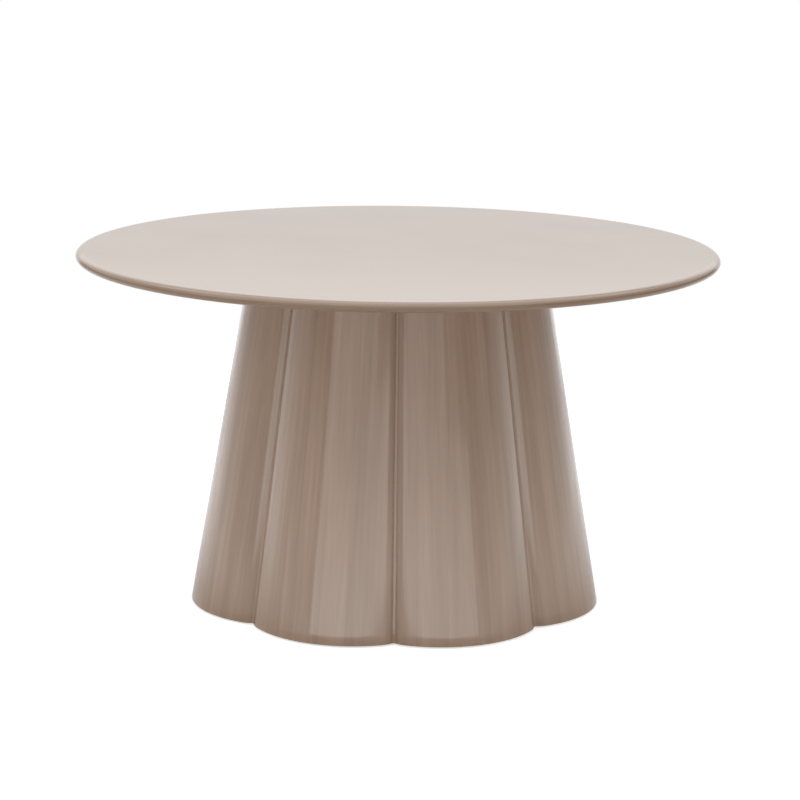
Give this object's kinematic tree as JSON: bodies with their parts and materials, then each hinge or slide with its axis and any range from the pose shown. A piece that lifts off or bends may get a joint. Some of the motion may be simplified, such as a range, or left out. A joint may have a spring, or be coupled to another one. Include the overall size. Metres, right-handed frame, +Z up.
{
  "type": "side table",
  "caption": "Low round side table with a thin-rimmed gloss-lacquered top on a hollow fluted cone pedestal made of curved petals.",
  "frame": {"origin": "on the floor, under the middle of the table", "axes": "+Z up along the table's axis; -Y is the front, which a valley between two petals faces"},
  "size_m": [0.8, 0.8, 0.44],
  "materials": {
    "lacquer_top": "high-gloss taupe lacquer, sprayed and polished",
    "lacquer_pedestal": "high-gloss taupe lacquer with a slight upright ripple",
    "fibreboard": "raw sanded fibreboard",
    "pine": "raw planed pine",
    "zinc_steel": "bright zinc plating",
    "brass": "bare brass",
    "felt": "pressed wool felt"
  },
  "bodies": {
    "root": {"table_top": "lacquer_top", "petal_1": "lacquer_pedestal", "petal_2": "lacquer_pedestal", "petal_3": "lacquer_pedestal", "petal_4": "lacquer_pedestal", "petal_5": "lacquer_pedestal", "petal_6": "lacquer_pedestal", "petal_7": "lacquer_pedestal", "petal_8": "lacquer_pedestal", "head_board": "fibreboard", "middle_board": "fibreboard", "foot_board": "fibreboard", "batten_1": "pine", "batten_2": "pine", "batten_3": "pine", "batten_4": "pine", "batten_5": "pine", "batten_6": "pine", "batten_7": "pine", "batten_8": "pine", "bolt_1": "zinc_steel", "washer_1": "zinc_steel", "insert_1": "brass", "bolt_2": "zinc_steel", "washer_2": "zinc_steel", "insert_2": "brass", "bolt_3": "zinc_steel", "washer_3": "zinc_steel", "insert_3": "brass", "bolt_4": "zinc_steel", "washer_4": "zinc_steel", "insert_4": "brass", "felt_pad_1": "felt", "felt_pad_2": "felt", "felt_pad_3": "felt", "felt_pad_4": "felt", "felt_pad_5": "felt", "felt_pad_6": "felt", "felt_pad_7": "felt", "felt_pad_8": "felt"}
  },
  "joints": []
}
